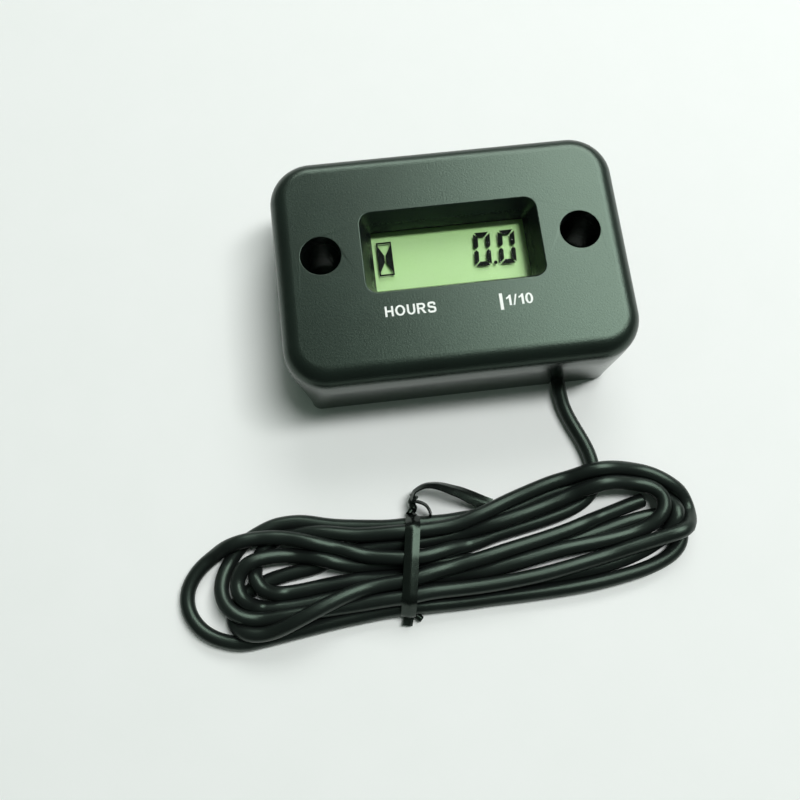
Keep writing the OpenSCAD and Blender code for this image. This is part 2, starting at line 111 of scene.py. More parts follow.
def fill(bm, *loops):
    """Closes a flat face between an outer loop of vertices and the holes in it."""
    vertices = [vertex for loop in loops for vertex in loop]
    for corners in tessellate_polygon([[vertex.co for vertex in loop] for loop in loops]):
        bm.faces.new([vertices[k] for k in corners])


def closed_mesh(bm):
    """Merges doubled points, turns the faces outwards and scales millimetres to metres."""
    bmesh.ops.remove_doubles(bm, verts=bm.verts, dist=1e-4)
    bmesh.ops.recalc_face_normals(bm, faces=bm.faces)
    bm.transform(Matrix.Scale(MM, 4))
    mesh = bpy.data.meshes.new("solid")
    bm.to_mesh(mesh)
    bm.free()
    return mesh


def prism(lower, upper):
    """A closed solid between two outlines."""
    bm = bmesh.new()
    rows = loft(bm, [lower, upper])
    fill(bm, rows[0])
    fill(bm, rows[-1])
    return closed_mesh(bm)


def cut(mesh, tools):
    """The mesh less each of the tools."""
    body = bpy.data.objects.new("cut", mesh)
    bpy.context.scene.collection.objects.link(body)
    for tool in tools:
        cutter = bpy.data.objects.new("tool", tool)
        bpy.context.scene.collection.objects.link(cutter)
        difference = body.modifiers.new("difference", "BOOLEAN")
        difference.object, difference.solver = cutter, "EXACT"
    result = bpy.data.meshes.new_from_object(body.evaluated_get(bpy.context.evaluated_depsgraph_get()))
    for modifier in body.modifiers:
        bpy.data.objects.remove(modifier.object)
    bpy.data.objects.remove(body)
    return result


def case_outside():
    """The outside of the moulding with its wells and window, closed at the rear and at the recess foot."""
    bm = bmesh.new()
    inside = (base_w - 4 * foot_edge_r, base_d - 4 * foot_edge_r, base_corner_r - 2 * foot_edge_r, 0)
    foot = (base_w, base_d, base_corner_r, 0)
    shoulder = (base_w, base_d, base_corner_r, shoulder_z)
    flare = (case_w, case_d, rim_corner_r, rim_z)
    rim = (case_w, case_d, rim_corner_r, case_h - rim_edge_r)
    profile = rounded([inside, foot, shoulder], reach=0.7)[:-1]
    profile += rounded([foot, shoulder, flare, rim], reach=2.5, steps=9)[1:]
    for turn in np.linspace(0, math.pi / 2, 15)[1:]:
        inset = rim_edge_r * (1 - math.cos(turn))
        profile.append((case_w - 2 * inset, case_d - 2 * inset, rim_corner_r - inset,
                        case_h - rim_edge_r * (1 - math.sin(turn))))
    sides = loft(bm, [outline(*ring) for ring in profile])
    holes, mouths = [], []
    for side in (-1, 1):
        mouth = [(well_d + 2 * well_edge_r * (1 - math.sin(turn)), case_h - well_edge_r * (1 - math.cos(turn)))
                 for turn in np.linspace(0, math.pi / 2, 6)]
        steps = mouth + [(well_d, well_floor_z), (screw_hole_d, well_floor_z), (screw_hole_d, 0)]
        well = loft(bm, [circle(d, z, side * well_x, well_y) for d, z in steps])
        mouths.append(well[0])
        holes.append(well[-1])
    lean = math.atan2(recess_depth, recess_slope)
    tangent = window_edge_r * math.tan(lean / 2)
    recess = []
    for turn in np.linspace(0, lean, 8):
        inset = window_edge_r * math.sin(turn) - tangent
        recess.append((window_w - 2 * inset, window_h - 2 * inset, window_corner_r - inset,
                       case_h - window_edge_r * (1 - math.cos(turn))))
    recess += [(foot_w, foot_h, foot_corner_r, z) for z in (recess_z, recess_z - below_foot)]
    window = loft(bm, [outline(*ring, x=window_x, y=window_y) for ring in recess])
    fill(bm, window[-1])
    fill(bm, sides[-1], window[0], *mouths)
    fill(bm, sides[0], *holes)
    return closed_mesh(bm)


def case_hollow():
    """The room for the works, with the screw bosses and the window frame left standing in it."""
    room = prism(outline(cavity_w, cavity_d, cavity_corner_r, -1),
                 outline(cavity_w, cavity_d, cavity_corner_r, case_h - face_t))
    bosses = [prism(circle(boss_d, -2, side * well_x, well_y), circle(boss_d, case_h, side * well_x, well_y))
              for side in (-1, 1)]
    frame_w, frame_h = window_w + 2 * frame_wall, window_h + 2 * frame_wall
    window_frame = [outline(frame_w, frame_h, window_corner_r, z, y=window_y) for z in (recess_z, case_h)]
    return cut(room, bosses + [prism(*window_frame)])


def lead_notch():
    """Slot with a round head through the lower wall, open to the rear."""
    section = [Vector((-notch_d / 2, 0, -1))]
    section += [Vector((notch_d / 2 * math.cos(turn), 0, lead_z + notch_d / 2 * math.sin(turn)))
                for turn in np.linspace(math.pi, 0, 25)]
    section.append(Vector((notch_d / 2, 0, -1)))
    return prism(*([point + Vector((lead_x, -base_d / 2 + y, 0)) for point in section] for y in (-1, 2.5)))


def linear(colour):
    """An sRGB hex colour as linear red, green, blue and alpha."""
    parts = [int(colour[k:k + 2], 16) / 255 for k in (1, 3, 5)]
    return tuple(c / 12.92 if c <= 0.04045 else ((c + 0.055) / 1.055) ** 2.4 for c in parts) + (1,)


def material(name):
    """An empty node material and its output."""
    made = bpy.data.materials.new(name)
    made.use_nodes = True
    made.node_tree.nodes.clear()
    return made, made.node_tree, made.node_tree.nodes.new("ShaderNodeOutputMaterial")


def add(tree, kind, sockets, **settings):
    """Adds a node with its properties and sockets, and links a socket that is given another node's output."""
    node = tree.nodes.new("ShaderNode" + kind)
    for name, value in settings.items():
        setattr(node, name, value)
    for name, value in sockets.items():
        if isinstance(value, bpy.types.NodeSocket):
            tree.links.new(value, node.inputs[name])
        else:
            node.inputs[name].default_value = value
    return node


def make_piece(name, mesh, finish, replaces=(), sharp=30):
    """Puts a mesh in the scene as a piece of the meter, smooth but for its sharp edges."""
    mesh.name = name
    mesh.materials.clear()
    mesh.materials.append(finish)
    mesh.shade_smooth()
    mesh.set_sharp_from_angle(angle=math.radians(sharp))
    piece = bpy.data.objects.new(name, mesh)
    bpy.context.scene.collection.objects.link(piece)
    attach(piece, "root")
    if replaces:
        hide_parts(*replaces)
    return piece


# Black ABS from a spark-eroded tool: an even matt grain that breaks up the gloss, and a faint green-grey cast.
# The sides slide along the tool on the way out, so they are smoother than the face.
case_abs, tree, output = material("black_abs_spark_eroded")
grain_mm, cloud_mm, matt_depth = 0.3, 9, 1
place = add(tree, "TexCoord", {})
grain = add(tree, "TexNoise", {
    "Vector": place.outputs["Object"], "Scale": 1000 / grain_mm, "Detail": 3, "Roughness": 0.6})
cloud = add(tree, "TexNoise", {"Vector": place.outputs["Object"], "Scale": 1000 / cloud_mm, "Detail": 2})
colour = add(tree, "ValToRGB", {"Fac": cloud.outputs["Fac"]})
colour.color_ramp.elements[0].position, colour.color_ramp.elements[0].color = 0.3, linear("#111614")
colour.color_ramp.elements[1].position, colour.color_ramp.elements[1].color = 0.7, linear("#151c19")
sheen = add(tree, "MapRange", {"Value": grain.outputs["Fac"], "To Min": 0.27, "To Max": 0.37})
height = add(tree, "SeparateXYZ", {"Vector": place.outputs["Object"]})
slid = add(tree, "MapRange", {
    "Value": height.outputs["Z"], "From Min": rim_z * MM, "From Max": (case_h - matt_depth) * MM,
    "To Min": 0.5, "To Max": 1})
gloss = add(tree, "Math", {0: sheen.outputs["Result"], 1: slid.outputs["Result"]}, operation="MULTIPLY")
relief = add(tree, "Bump", {"Height": grain.outputs["Fac"], "Strength": 0.5, "Distance": 0.05 * MM})
surface = add(tree, "BsdfPrincipled", {
    "Base Color": colour.outputs["Color"], "Roughness": gloss.outputs["Value"], "IOR": 1.54,
    "Specular Tint": linear("#d8fbe2"), "Normal": relief.outputs["Normal"]})
tree.links.new(surface.outputs["BSDF"], output.inputs["Surface"])

case = make_piece("front_case_moulding", cut(case_outside(), [case_hollow(), lead_notch()]),
                  case_abs, ["front_case"], sharp=35)
even = case.modifiers.new("even_faces", "WEIGHTED_NORMAL")
even.keep_sharp = True


# Window lens and its tape. The lens is a flat plate of clear cast acrylic, bonded behind the recess foot by a
# die-cut frame of black tape.

# Clear acrylic with a coat against glare: it shows what lies behind it, under a weak reflection that grows
# towards grazing sight.
lens_acrylic, tree, output = material("coated_clear_acrylic")
haze_mm, coat_share = 2.5, 0.02
place = add(tree, "TexCoord", {})
haze = add(tree, "TexNoise", {"Vector": place.outputs["Object"], "Scale": 1000 / haze_mm})
gloss = add(tree, "MapRange", {"Value": haze.outputs["Fac"], "To Min": 0.02, "To Max": 0.06})
through = add(tree, "BsdfTransparent", {"Color": linear("#ffffff")})
shine = add(tree, "BsdfGlossy", {"Color": linear("#ffffff"), "Roughness": gloss.outputs["Result"]})
edge = add(tree, "Fresnel", {"IOR": 1.49})
side = add(tree, "NewGeometry", {})
outside = add(tree, "Math", {0: 1.0, 1: side.outputs["Backfacing"]}, operation="SUBTRACT")
mirror = add(tree, "Math", {0: edge.outputs["Fac"], 1: outside.outputs["Value"]}, operation="MULTIPLY")
coated = add(tree, "Math", {0: mirror.outputs["Value"], 1: coat_share}, operation="MULTIPLY")
surface = add(tree, "MixShader", {
    0: coated.outputs["Value"], 1: through.outputs["BSDF"], 2: shine.outputs["BSDF"]})
tree.links.new(surface.outputs["Shader"], output.inputs["Surface"])


def finish_node(name, finish):
    """Gives a CAD node its finish."""
    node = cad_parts[name]
    if not node.material_slots:
        node.data.materials.append(finish)
    for each in node.material_slots:
        each.material = finish


def grained(name, light, dark, roughness, grain_mm, relief_mm=0.0, metallic=0.0, stretch=(1, 1, 1),
            specular=0.5, tint="#ffffff"):
    """A surface whose tone, gloss and relief follow one grain, which can be drawn out along an axis."""
    made, tree, output = material(name)
    place = add(tree, "TexCoord", {})
    drawn = add(tree, "Mapping", {"Vector": place.outputs["Object"], "Scale": stretch})
    grain = add(tree, "TexNoise", {"Vector": drawn.outputs["Vector"], "Scale": 1000 / grain_mm, "Detail": 3})
    tone = add(tree, "Mix", {0: grain.outputs["Fac"], 6: linear(dark), 7: linear(light)}, data_type="RGBA")
    gloss = add(tree, "MapRange", {
        "Value": grain.outputs["Fac"], "To Min": roughness - 0.05, "To Max": roughness + 0.05})
    relief = add(tree, "Bump", {"Height": grain.outputs["Fac"], "Strength": 0.4, "Distance": relief_mm * MM})
    surface = add(tree, "BsdfPrincipled", {
        "Base Color": tone.outputs[2], "Roughness": gloss.outputs["Result"], "Metallic": metallic,
        "Specular IOR Level": specular, "Specular Tint": linear(tint), "Normal": relief.outputs["Normal"]})
    tree.links.new(surface.outputs["BSDF"], output.inputs["Surface"])
    return made


finish_node("window_lens", lens_acrylic)
# Black foam tape: a dull, slightly open surface.
finish_node("lens_tape", grained("black_foam_tape", "#1e1f1f", "#151616", 0.8, grain_mm=0.2, relief_mm=0.02))


# Display. A reflective LCD: front glass with its polarising film, dark figures in the gap, rear glass, and a
# green film behind that sends the light back. The plates are held together by a seal round their edge.

def plate_ring(low, high, z):
    """The four corners of a plate at one height."""
    return [Vector((x, y, z)) for x, y in ((low.x, low.y), (high.x, low.y), (high.x, high.y), (low.x, high.y))]


# Film and glass: bonded to each other, so that no gloss shows between them, only a faint yellow-green tint.
def tinted(name, colour, mottle_mm=4):
    """A clear layer with a faint tint, which light goes straight through."""
    made, tree, output = material(name)
    place = add(tree, "TexCoord", {})
    mottle = add(tree, "TexNoise", {"Vector": place.outputs["Object"], "Scale": 1000 / mottle_mm})
    tint = add(tree, "Mix", {
        0: mottle.outputs["Fac"], 6: linear(colour), 7: linear("#ffffff")}, data_type="RGBA")
    surface = add(tree, "BsdfTransparent", {"Color": tint.outputs[2]})
    tree.links.new(surface.outputs["BSDF"], output.inputs["Surface"])
    return made


sandwich = ["lcd_rear_glass", "lcd_front_glass", "lcd_front_polariser"]
bond_t = 0.02
bm = bmesh.new()
steps = []
for layer, above in zip(sandwich, sandwich[1:] + sandwich[-1:]):
    low, high = (Vector(corner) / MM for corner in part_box(layer))
    top = max(high.z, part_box(above)[0][2] / MM)
    steps += [plate_ring(low, high, low.z if steps else low.z + bond_t), plate_ring(low, high, top)]
rows = loft(bm, steps)
fill(bm, rows[0])
fill(bm, rows[-1])
film_on_glass = tinted("polariser_film_on_glass", "#fdfffa")
make_piece("lcd_glass_sandwich", closed_mesh(bm), film_on_glass, sandwich)
# Switched liquid crystal between crossed films: near black, with no gloss of its own.
finish_node("lcd_segments", grained("switched_crystal", "#0e1612", "#080d0b", 0.75, grain_mm=0.5, specular=0.1))
# Green transflective film: a fine pearl grain, so that the ground of the display glimmers a little.
finish_node("lcd_reflector", grained(
    "pearl_green_film", "#acd395", "#a5cf8e", 0.55, grain_mm=0.25, relief_mm=0.01))
# Edge seal: printed epoxy, half matt. Its dark colour is painted shade, so that it reads as the shadow at the top
# of the recess.
finish_node("lcd_seal", grained("epoxy_seal_painted_shade", "#2b3029", "#20241f", 0.5, grain_mm=0.4))


# Print on the face: HOURS under the window, and a bar with 1/10 under the last figure. It is pad-printed in
# white ink, a film of about 0.02 mm.

print_t = 0.02
# Pad-printing ink: dense white, slightly thinner in places, so that the grain under it shows through.
white_ink = grained("white_pad_ink", "#f3f6f2", "#dfe6e0", 0.55, grain_mm=0.3, relief_mm=0.01)


def arc(x, y, rx, ry, start, end, steps=18):
    """Points of an ellipse between two angles in degrees."""
    return [(x + rx * math.cos(turn), y + ry * math.sin(turn))
            for turn in np.radians(np.linspace(start, end, steps))]


def stroke(points, width, steps=5):
    """Outline of a pen stroke of one width along a smooth line."""
    line = np.array(rounded(points, 1, steps))
    ahead = np.gradient(line, axis=0)
    aside = np.stack([-ahead[:, 1], ahead[:, 0]], 1) / np.linalg.norm(ahead, axis=1)[:, None] * width / 2
    return [tuple(p) for p in np.vstack([line + aside, (line - aside)[::-1]])]


# Bold grotesque letters in units of their height: each has its width, its outline and the holes in it.
letters = {
    "H": (0.81, [[(0, 0), (0.2, 0), (0.2, 0.43), (0.61, 0.43), (0.61, 0), (0.81, 0), (0.81, 1), (0.61, 1),
                  (0.61, 0.6), (0.2, 0.6), (0.2, 1), (0, 1)]]),
    "O": (0.97, [arc(0.485, 0.5, 0.485, 0.515, 0, 350, 36), arc(0.485, 0.5, 0.275, 0.345, 0, 350, 36)]),
    "U": (0.8, [[(0, 1)] + arc(0.4, 0.39, 0.4, 0.405, 180, 360) + [(0.8, 1), (0.6, 1)]
                + arc(0.4, 0.38, 0.2, 0.225, 360, 180) + [(0.2, 1)]]),
    "R": (0.86, [[(0, 0), (0.2, 0), (0.2, 0.41), (0.3, 0.41), (0.4, 0.34), (0.62, 0), (0.86, 0), (0.68, 0.29),
                  (0.56, 0.42)] + arc(0.52, 0.71, 0.29, 0.29, -75, 90) + [(0, 1)],
                 [(0.2, 0.57), (0.2, 0.835)] + arc(0.48, 0.7025, 0.125, 0.1325, 90, -90)]),
    "S": (0.8, [stroke([(0.69, 0.71), (0.66, 0.92), (0.4, 0.94), (0.12, 0.92), (0.1, 0.7), (0.14, 0.57),
                        (0.4, 0.52), (0.68, 0.46), (0.72, 0.3), (0.69, 0.07), (0.4, 0.06), (0.12, 0.07),
                        (0.08, 0.31)], 0.19)]),
    "1": (0.44, [[(0.44, 0), (0.44, 1), (0.28, 1), (0.19, 0.86), (0, 0.755), (0, 0.58), (0.24, 0.71),
                  (0.24, 0)]]),
    "/": (0.39, [[(0, -0.02), (0.14, -0.02), (0.39, 1.02), (0.25, 1.02)]]),
    "0": (0.68, [arc(0.34, 0.5, 0.34, 0.515, 0, 350, 36), arc(0.34, 0.5, 0.145, 0.365, 0, 350, 36)]),
    "|": (0.2, [[(0, 0), (0.2, 0), (0.2, 1), (0, 1)]]),
}


def print_on_face(name, words, left, right, low, high, gap=0.17):
    """Sets words in a box on the face, in millimetres, with the ink's thickness."""
    bm = bmesh.new()
    pen = 0
    for letter in words:
        width, loops = letters[letter]
        fill(bm, *[[bm.verts.new((pen + x, y, case_h - print_t)) for x, y in loop] for loop in loops])
        pen += width + gap
    for v in bm.verts:
        v.co.x, v.co.y = left + v.co.x / (pen - gap) * (right - left), low + v.co.y * (high - low)
    raised = bmesh.ops.extrude_face_region(bm, geom=bm.faces[:])
    upper = [v for v in raised["geom"] if isinstance(v, bmesh.types.BMVert)]
    bmesh.ops.translate(bm, vec=(0, 0, 2 * print_t), verts=upper)
    make_piece(name, closed_mesh(bm), white_ink)


print_on_face("print_hours", "HOURS", -11.88, -3.85, -9.62, -7.88)
print_on_face("print_bar", "|", 6.25, 6.75, -10.45, -7.7)
print_on_face("print_tenths", "1/10", 7.28, 11.55, -9.83, -8.08, gap=0.13)


# Works behind the display: a moulded holder and two layered rubber strips that carry the figures' signals, the
# circuit board with its parts and screws, and a coin cell between welded tabs.

# Unpainted polycarbonate: milky white, with the soft gloss of a polished tool.
finish_node("lcd_holder", grained("milky_polycarbonate", "#d9d8cf", "#cccabf", 0.4, grain_mm=1.5))
# Silicone strips, layered with carbon every fraction of a millimetre along the glass.
finish_node("contact_strips", grained(
    "layered_silicone", "#a59f9b", "#2f2c2b", 0.6, grain_mm=0.3, stretch=(1, 0.05, 0.05)))
# Green solder resist on glass-fibre laminate: glossy, with the weave just showing.
finish_node("circuit_board", grained(
    "green_solder_resist", "#1f5a30", "#194b28", 0.35, grain_mm=0.6, relief_mm=0.01))
# Black epoxy dropped over the controller: a smooth cured skin.
finish_node("controller_blob", grained("black_epoxy_drop", "#1a1b1b", "#131414", 0.3, grain_mm=1))
# Tin plate on drawn steel: bright, with faint draw lines.
tin_plate = grained(
    "tin_plated_steel", "#c9cbcd", "#b4b7ba", 0.3, grain_mm=0.4, metallic=1, stretch=(0.1, 1, 1))
finish_node("crystal_can", tin_plate)
finish_node("board_screws", tin_plate)
# Fired ceramic chips: brown and dull.
finish_node("chip_parts", grained("fired_ceramic", "#7a6046", "#675039", 0.6, grain_mm=0.2))
# Brushed stainless steel of the cell's can.
finish_node("coin_cell", grained(
    "brushed_stainless", "#cfd1d2", "#b9bbbd", 0.35, grain_mm=0.3, metallic=1, stretch=(0.04, 1, 1)))
# Rolled nickel strip: slightly warm, with long rolling marks.
nickel = grained("rolled_nickel", "#cdc8bd", "#b8b3a8", 0.32, grain_mm=0.3, metallic=1, stretch=(1, 0.05, 1))
finish_node("cell_tab_negative", nickel)
finish_node("cell_tab_positive", nickel)
# Drawn copper, and solder that has wetted it.
finish_node("lead_conductor", grained(
    "drawn_copper", "#d08a5c", "#b8734a", 0.3, grain_mm=0.2, metallic=1, stretch=(1, 0.1, 1)))
finish_node("solder_joint", grained("tin_solder", "#d2d3d4", "#bfc1c2", 0.25, grain_mm=0.5, metallic=1))


# Potting. Black epoxy poured in from behind, which holds the works and keeps water out. It levels itself while
# it cures, so its face is smooth with slow ripples.

finish_node("potting", grained("poured_black_epoxy", "#1b1e1d", "#141716", 0.22, grain_mm=7, relief_mm=0.12))


# Lead. Thin black silicone-rubber wire that is wound round a sparking-plug lead in use. It leaves the case low
# on the front side, and about 0.8 m of it is wound into a flat hank of five turns in front of the case.

lay = {
    "from the case, under the right loops": [
        (17, -18.4, 1.65), (17, -20.5, 1.65), (17.3, -23, 1.3), (18.2, -26, 1.2), (19.4, -29, 1.2),
        (20.3, -32, 1.2), (20.4, -34.5, 1.2), (19.7, -37.3, 1.2), (17.8, -39.5, 1.2), (14.8, -40.8, 1.2),
        (11.3, -41.7, 1.2), (7.7, -42.4, 1.2), (3.7, -43.1, 1.2), (-0.5, -43.7, 1.4), (-4.5, -44.8, 2.2),
        (-8.5, -45.5, 3.1)],
    "big left loop": [
        (-12, -45.7, 3.6), (-18.5, -44.6, 3.6), (-24, -42.7, 4), (-29.5, -40.7, 5), (-33, -39.9, 5.6),
        (-37.5, -39.7, 5.4), (-41.5, -40.6, 4.2), (-45, -42.3, 3), (-47.2, -44.5, 2), (-48.4, -47, 1.4),
        (-48.2, -50, 1.2), (-46.6, -52.7, 1.2), (-44.7, -54.2, 1.2), (-42.4, -55.2, 1.2), (-39.2, -55.6, 1.2),
        (-35.5, -55.4, 1.2), (-30, -54.7, 1.2), (-24.3, -54, 1.2), (-18.7, -53.5, 1.2), (-14.4, -53.3, 1.2)],
    "lower right loop": [
        (-7, -53.4, 1.2), (-0.5, -53.3, 1.2), (6, -53.2, 1.2), (12.5, -53, 1.2), (18, -52.8, 1.2),
        (22.5, -52.3, 1.2), (27, -51.4, 1.2), (30.9, -49.8, 1.2), (32.8, -47.9, 1.2), (33.2, -46, 1.2),
        (32.4, -44.2, 1.2), (30.4, -43.3, 1.2), (27.5, -43.4, 1.2), (23.3, -44.1, 1.2), (18, -45.1, 1.2),
        (11, -46.4, 1.2), (4.3, -47.2, 1.2), (-2.4, -47.2, 1.2), (-9, -46.6, 1.2)],
    "inner left loop": [
        (-13, -46.1, 1.2), (-16.3, -46, 1.2), (-20, -45.7, 1.4), (-23.4, -45, 2.2), (-26.5, -44, 3),
        (-29.2, -43.3, 3.6), (-32.7, -42.8, 4.4), (-35.8, -43, 4.8), (-38.1, -43.8, 4.6), (-39.5, -45.1, 4.2),
        (-40, -46.7, 3.8), (-39.8, -48.2, 3.6), (-38.8, -49.7, 3.6), (-36.9, -50.6, 3.4), (-34.3, -50.9, 3),
        (-31.2, -50.9, 2.2), (-28, -50.7, 1.5), (-24.8, -50.4, 1.2), (-20.4, -50.3, 1.2), (-15.8, -50.5, 1.2)],
    "hidden right loop": [
        (-11.7, -50.7, 1.2), (-7, -50.9, 1.2), (0, -51.1, 1.2), (6, -51.2, 1.2), (12, -51.1, 1.2),
        (17, -50.7, 1.2), (22, -49.9, 1.2), (26.5, -48.6, 1.2), (29.6, -47.1, 1.6), (31.6, -45.3, 2.6),
        (32.6, -43.4, 3.2), (32.4, -41.4, 2.8), (31, -39.5, 2), (28.5, -37.9, 1.8), (25.5, -36.8, 2.6),
        (21.5, -36.3, 3.6), (17, -36.8, 3.2), (12, -37.7, 1.8), (7, -39.2, 1.2), (2, -40.2, 1.2),
        (-2.7, -40.2, 1.2), (-6.4, -40.2, 1.2), (-10, -40.1, 1.2)],
    "second left loop": [
        (-14.6, -40.1, 1.2), (-21, -39.3, 1.2), (-27.7, -38.4, 1.2), (-32.4, -37.9, 1.2), (-36.4, -38.7, 1.2),
        (-39.8, -40.7, 1.2), (-41.5, -43.2, 1.6), (-42.4, -45.2, 2.2), (-42.7, -46.8, 2.8), (-42.5, -48.4, 3.3),
        (-41.9, -49.8, 3.5), (-40.9, -50.9, 3.5), (-39.5, -51.8, 3.3), (-37.5, -52.3, 2.8), (-35.4, -52.4, 2),
        (-32.9, -52.3, 1.4), (-29, -52.1, 1.2), (-25, -51.9, 1.2), (-20.6, -51.8, 1.6), (-16.3, -51.7, 2.6)],
    "outer right loop": [
        (-12.8, -51.7, 3), (-9.5, -51.4, 3.3), (-2, -51.4, 3.6), (3, -51.2, 3.6), (8, -50.8, 3.6),
        (12.5, -50.2, 3.6), (18.5, -49.2, 3.6), (23.5, -48.2, 3.6), (27.8, -47.4, 3.8), (31.3, -46.6, 4),
        (33.5, -45.5, 4), (34.8, -43.7, 3.8), (34.9, -41.7, 3.6), (33.5, -39.6, 3.6), (31, -37.5, 3.6),
        (28.4, -36, 3.8), (24, -35.1, 4.6), (19.3, -35.2, 4.8), (14.5, -35.8, 3.8), (12, -36.3, 3.6),
        (4.8, -38.4, 3.6), (-0.5, -40.3, 3.6), (-4.8, -41.2, 3.6), (-9.9, -41.4, 3.6)],
    "innermost left loop": [
        (-12.7, -41.3, 3.6), (-17.2, -41.1, 3.6), (-20.6, -40.8, 3.6), (-25, -40, 3.6), (-29.4, -39.2, 3.5),
        (-32.8, -39.4, 3.3), (-35.2, -40.8, 3.3), (-36.6, -42.8, 3.4), (-37.2, -44.6, 3.6), (-37.1, -46.1, 3.6),
        (-36.3, -47.5, 3.6), (-34.8, -48.5, 3.2), (-32.4, -48.9, 2.3), (-29.8, -48.8, 1.5), (-26, -48.4, 1.2),
        (-21.5, -48.1, 1.2), (-17.9, -48.1, 1.2), (-14, -48.3, 1.2)],
    "second right loop": [
        (-10.8, -48.5, 1.2), (-6, -48.9, 1.3), (-1, -49, 1.6), (5.7, -48.2, 2.4), (12.3, -47.1, 3.2),
        (18.6, -46.5, 3.6), (22.6, -46, 3.6), (25.9, -45.4, 3.6), (27.7, -44.8, 3.8), (29.4, -43.8, 4.2),
        (30.6, -42.5, 4.6), (30.8, -41, 4.8), (30.1, -39.6, 4.6), (28.3, -38.5, 4.4), (25, -37.7, 4.8),
        (21.4, -37.4, 5), (17.4, -38, 4.4), (14.4, -38.8, 3.8), (8.8, -40.3, 3.6), (2.7, -41.6, 3.4),
        (-4.2, -42.6, 3), (-9.3, -43, 2.4)],
    "front left loop": [
        (-12.9, -43.1, 2), (-16.6, -43, 1.7), (-20.4, -43.3, 1.3), (-24, -44.1, 1.2), (-27.3, -45, 1.2),
        (-30.4, -45.5, 1.2), (-33.5, -46, 1.2), (-36.5, -46.8, 1.2), (-39, -48.2, 1.2), (-40.7, -49.9, 1.2),
        (-41.4, -51.5, 1.2), (-40.7, -53.2, 1.8), (-39.2, -54.3, 2.6), (-37.3, -54.8, 3.2), (-34.6, -54.5, 3.6),
        (-30.5, -53.2, 3.6), (-27.2, -52, 3.6), (-23.9, -50.8, 3.6), (-20.3, -49.9, 3.6), (-16.6, -49.3, 3.6)],
    "cut end": [
        (-12.5, -49.1, 3.6), (-9.2, -48.5, 3.6), (-5, -47.8, 3.6), (0, -47, 3.6), (4, -46.2, 3.6),
        (9.5, -45.2, 3.6), (13.8, -44.3, 3.6), (18.6, -43.1, 3.6), (22.6, -41.8, 3.6), (25.6, -41, 3.8),
        (27.7, -40.5, 4)],
}
tie_x, tie_y, tie_lean, tie_w, tie_t = -12.1, -47, math.radians(9.5), 2.4, 0.5
hank_far_y, tie_lift_reach = -36, 5


def respaced(line, step=None, count=None):
    """The same line with its points evenly spaced."""
    along = np.concatenate([[0], np.cumsum(np.linalg.norm(np.diff(line, axis=0), axis=1))])
    at = np.linspace(0, along[-1], count or int(along[-1] / step) + 1)
    return np.stack([np.interp(at, along, line[:, k]) for k in range(3)], 1)


def smooth_line(points, step):
    """A smooth line through the points, with a point for each step along it."""
    points = np.array(points, float)
    ends = np.vstack([2 * points[0] - points[1], points, 2 * points[-1] - points[-2]])
    t = np.linspace(0, 1, 16, endpoint=False)[:, None]
    spans = [0.5 * (2 * b + (c - a) * t + (2 * a - 5 * b + 4 * c - d) * t ** 2
                    + (3 * b - a - 3 * c + d) * t ** 3)
             for a, b, c, d in zip(ends, ends[1:], ends[2:], ends[3:])]
    return respaced(np.vstack(spans + [points[-1:]]), step)


def settle(line, d, rounds=40, steps=20, held=8, bend=0.085, hold=0.06, weight=0.012, sideways=0.35):
    """Lets a wound lead rest: it sinks, stays a diameter off its other turns, and keeps its bends gentle."""
    count = len(line)
    order = np.arange(count)
    apart_along = np.abs(order[:, None] - order[None]) > 8
    home = line.copy()
    share = np.array([sideways, sideways, 1.0])
    for turn in range(rounds):
        square_gap = ((line[:, None] - line[None]) ** 2).sum(2)
        i, j = np.where(apart_along & (square_gap < (d + 1.5) ** 2))
        for step in range(steps):
            line[2:-2] -= bend * (line[:-4] - 4 * line[1:-3] + 6 * line[2:-2] - 4 * line[3:-1] + line[4:])
            line[:, :2] += hold * (home[:, :2] - line[:, :2])
            line[:, 2] -= weight
            away = line[i] - line[j]
            gap = np.linalg.norm(away, axis=1) + 1e-6
            press = np.maximum(0, d - gap)
            move, touches = np.zeros_like(line), np.zeros(count)
            np.add.at(move, i, (0.3 * press / gap)[:, None] * away * share)
            np.add.at(touches, i, press > 0)
            line += move / np.maximum(1, touches / 2)[:, None]
            over_tie = tie_t * np.exp(-((line[:, 0] - tie_x) / tie_lift_reach) ** 2) * (line[:, 1] < hank_far_y)
            line[:, 2] = np.maximum(line[:, 2], d / 2 + over_tie)
            line[:held] = home[:held]
        if turn < rounds - 3:
            line, home = respaced(line, count=count), respaced(home, count=count)
    return line


lead_line = settle(smooth_line([point for stretch in lay.values() for point in stretch], 1.0), lead_d)
lead_step = 0.5
lead_path = respaced(lead_line, step=lead_step)
# The cut end is rounded: three more points, each narrower than the one before.
end_reach, end_narrow = (0.15, 0.27, 0.33), (0.94, 0.8, 0.6)
end_way = (lead_path[-1] - lead_path[-2]) / lead_step
lead_path = np.vstack([lead_path, lead_path[-1] + np.outer(end_reach, end_way)])

